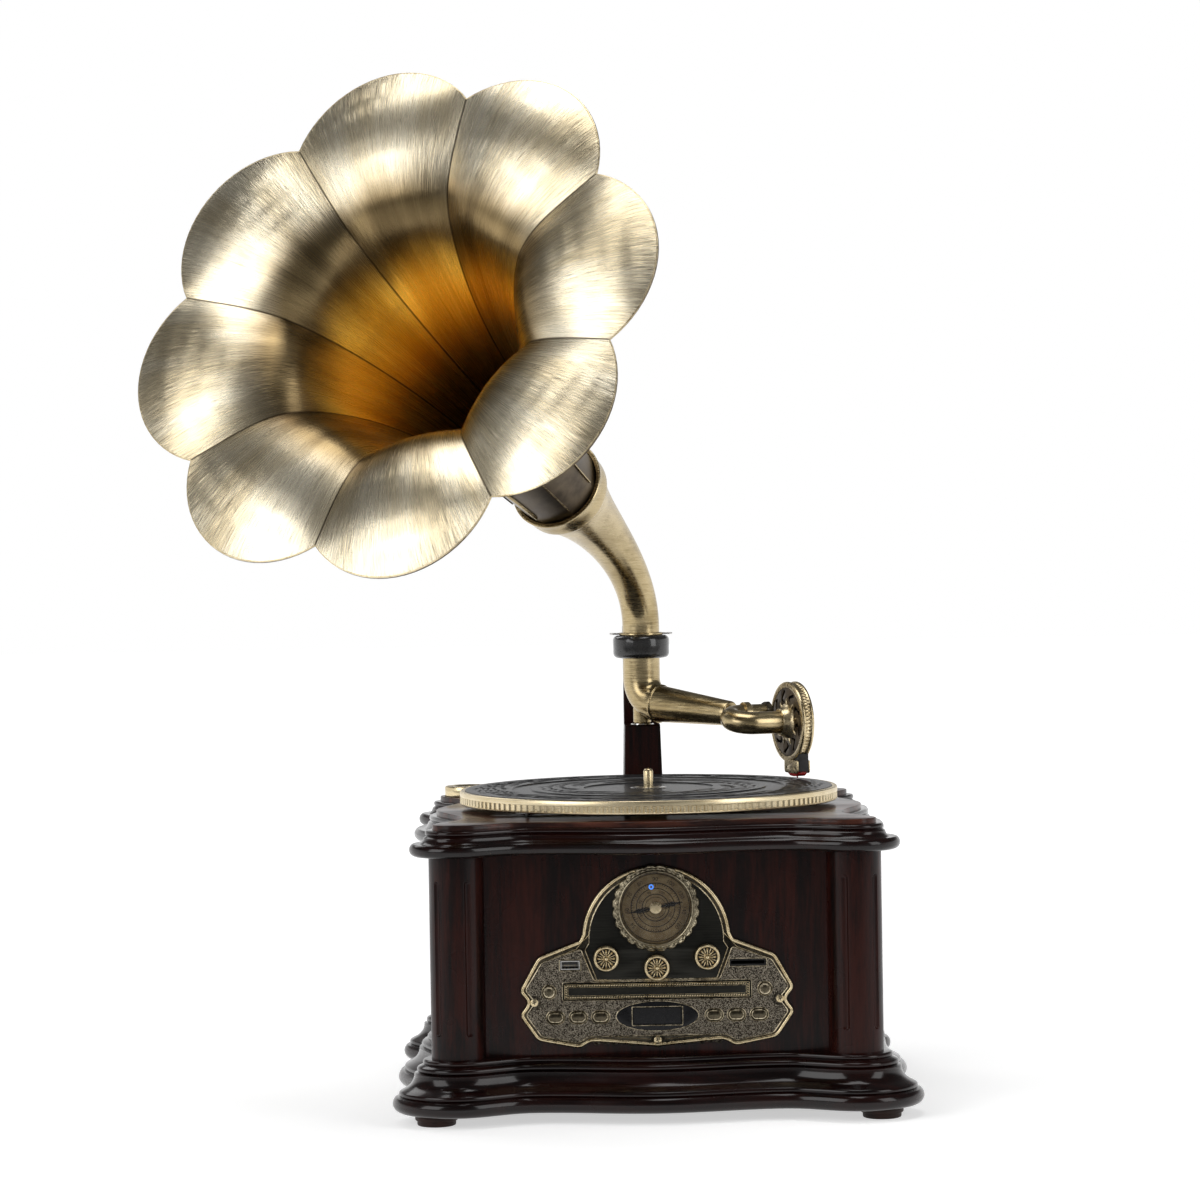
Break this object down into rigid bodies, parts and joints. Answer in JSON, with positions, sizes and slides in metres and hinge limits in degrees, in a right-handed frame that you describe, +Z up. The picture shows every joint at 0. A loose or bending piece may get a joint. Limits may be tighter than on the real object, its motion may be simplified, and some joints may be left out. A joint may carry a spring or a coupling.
{
  "type": "mini stereo system",
  "caption": "Table-top stereo in the form of a horn gramophone: wooden cabinet with disc tray and radio, belt-driven turntable, swinging arm with soundbox, and a petalled brass horn.",
  "frame": {"origin": "on the floor plane under the middle of the cabinet, straight below the turntable's spindle", "axes": "+Z up along the spindle, -Y towards the front with the control plate, +X to the right seen from the front"},
  "size_m": [0.5597, 0.5134, 0.7588],
  "materials": {
    "mahogany": "gloss lacquer",
    "inner_wood": "bare",
    "dark_feet": "matt",
    "black_metal": "satin",
    "chrome": "polished",
    "bronze": "antique",
    "gold": "satin",
    "antique_brass": "brushed",
    "card": "matt",
    "clear_glass": "clear",
    "display": "gloss",
    "steel": "brushed",
    "board": "satin",
    "black_plastic": "satin",
    "iron": "bare",
    "rubber": "matt",
    "champagne": "satin",
    "button": "satin",
    "red": "gloss"
  },
  "bodies": {
    "cabinet": {"feet": "dark_feet", "base_moulding": "mahogany", "bottom_board": "inner_wood", "corner_columns": "mahogany", "front_panel": "mahogany", "side_panels": "mahogany", "rear_panel": "mahogany", "top_moulding": "mahogany", "deck_board": "mahogany", "arm_pillar": "mahogany", "horn_collar": "black_metal", "lower_pivot": "chrome", "screws": "gold", "control_plate": "bronze", "dial_card": "card", "dial_bezel": "gold", "dial_lens": "clear_glass", "display_window": "display", "usb_socket": "steel", "card_socket": "black_plastic", "control_board": "board", "rotary_controls": "steel", "disc_drive": "black_plastic", "main_board": "board", "power_transformer": "iron", "speakers": "black_plastic", "speaker_grilles": "bronze", "rear_sockets": "black_plastic", "turntable_motor": "steel", "platter_bearing": "gold", "drive_belt": "rubber"},
    "turntable": {"platter": "champagne", "platter_mat": "rubber", "spindle": "chrome"},
    "motor_rotor": {"motor_pulley": "gold"},
    "adapter": {"record_adapter": "gold"},
    "arm": {"tonearm": "antique_brass"},
    "head": {"gooseneck": "antique_brass", "axle_nut": "black_metal", "soundbox": "gold", "soundbox_back": "gold", "cartridge": "black_plastic", "stylus": "red"},
    "horn": {"horn_swivel": "antique_brass", "horn_elbow": "antique_brass", "horn_bell": "antique_brass"},
    "mode_control": {"mode_knob": "bronze"},
    "tuning_control": {"tuning_knob": "bronze"},
    "volume_control": {"volume_knob": "bronze"},
    "pointer": {"dial_pointer": "black_metal"},
    "tray": {"disc_tray": "bronze"},
    "rocker": {"power_switch": "black_plastic"},
    "key_1": {"key_1": "button"},
    "key_2": {"key_2": "button"},
    "key_3": {"key_3": "button"},
    "key_4": {"key_4": "button"},
    "key_5": {"key_5": "button"},
    "key_6": {"key_6": "button"},
    "round_key_left": {"round_key_left": "button"},
    "round_key_right": {"round_key_right": "button"}
  },
  "joints": [
    {"name": "platter_spin", "type": "hinge", "parent": "cabinet", "child": "turntable", "pos_m": [0, 0, 0.2], "axis": [0, 0, 1], "continuous": true},
    {"name": "motor_spin", "type": "hinge", "parent": "cabinet", "child": "motor_rotor", "pos_m": [-0.09174, -0.06424, 0.2], "axis": [0, 0, 1], "continuous": true},
    {"name": "adapter_lift", "type": "slide", "parent": "cabinet", "child": "adapter", "axis": [0, 0, 1], "range_m": [0, 0.03]},
    {"name": "tonearm_swing", "type": "hinge", "parent": "cabinet", "child": "arm", "pos_m": [0, 0.15, 0.3], "axis": [0, 0, 1], "range_deg": [-34, 25]},
    {"name": "head_lift", "type": "hinge", "parent": "arm", "child": "head", "pos_m": [0.07849, 0.08177, 0.2775], "axis": [-0.9336, -0.3584, 0], "range_deg": [0, 90]},
    {"name": "horn_swing", "type": "hinge", "parent": "cabinet", "child": "horn", "pos_m": [0, 0.15, 0.335], "axis": [0, 0, 1], "range_deg": [-90, 90]},
    {"name": "mode_turn", "type": "hinge", "parent": "cabinet", "child": "mode_control", "pos_m": [-0.0365, -0.145, 0.1166], "axis": [0, -1, 0], "range_deg": [-60, 60]},
    {"name": "tuning_turn", "type": "hinge", "parent": "cabinet", "child": "tuning_control", "pos_m": [0, -0.145, 0.1094], "axis": [0, -1, 0], "range_deg": [-405, 405]},
    {"name": "volume_turn", "type": "hinge", "parent": "cabinet", "child": "volume_control", "pos_m": [0.0365, -0.145, 0.1166], "axis": [0, -1, 0], "range_deg": [-150, 150]},
    {"name": "pointer_turn", "type": "hinge", "parent": "cabinet", "child": "pointer", "pos_m": [0, -0.145, 0.152], "axis": [0, -1, 0], "range_deg": [-135, 135]},
    {"name": "tray_slide", "type": "slide", "parent": "cabinet", "child": "tray", "axis": [0, -1, 0], "range_m": [0, 0.125]},
    {"name": "power_rock", "type": "hinge", "parent": "cabinet", "child": "rocker", "pos_m": [-0.0955, 0.1425, 0.085], "axis": [1, 0, 0], "range_deg": [0, 16]},
    {"name": "key_1_press", "type": "slide", "parent": "cabinet", "child": "key_1", "axis": [0, 1, 0], "range_m": [0, 0.0012], "stiffness_N_per_m": 250},
    {"name": "key_2_press", "type": "slide", "parent": "cabinet", "child": "key_2", "axis": [0, 1, 0], "range_m": [0, 0.0012], "stiffness_N_per_m": 250},
    {"name": "key_3_press", "type": "slide", "parent": "cabinet", "child": "key_3", "axis": [0, 1, 0], "range_m": [0, 0.0012], "stiffness_N_per_m": 250},
    {"name": "key_4_press", "type": "slide", "parent": "cabinet", "child": "key_4", "axis": [0, 1, 0], "range_m": [0, 0.0012], "stiffness_N_per_m": 250},
    {"name": "key_5_press", "type": "slide", "parent": "cabinet", "child": "key_5", "axis": [0, 1, 0], "range_m": [0, 0.0012], "stiffness_N_per_m": 250},
    {"name": "key_6_press", "type": "slide", "parent": "cabinet", "child": "key_6", "axis": [0, 1, 0], "range_m": [0, 0.0012], "stiffness_N_per_m": 250},
    {"name": "round_key_left_press", "type": "slide", "parent": "cabinet", "child": "round_key_left", "axis": [0, 1, 0], "range_m": [0, 0.0012], "stiffness_N_per_m": 250},
    {"name": "round_key_right_press", "type": "slide", "parent": "cabinet", "child": "round_key_right", "axis": [0, 1, 0], "range_m": [0, 0.0012], "stiffness_N_per_m": 250}
  ],
  "couplings": [
    {"joint": "motor_spin", "follows": "platter_spin", "ratio": 13.143},
    {"joint": "pointer_turn", "follows": "tuning_turn", "ratio": 0.33333}
  ]
}
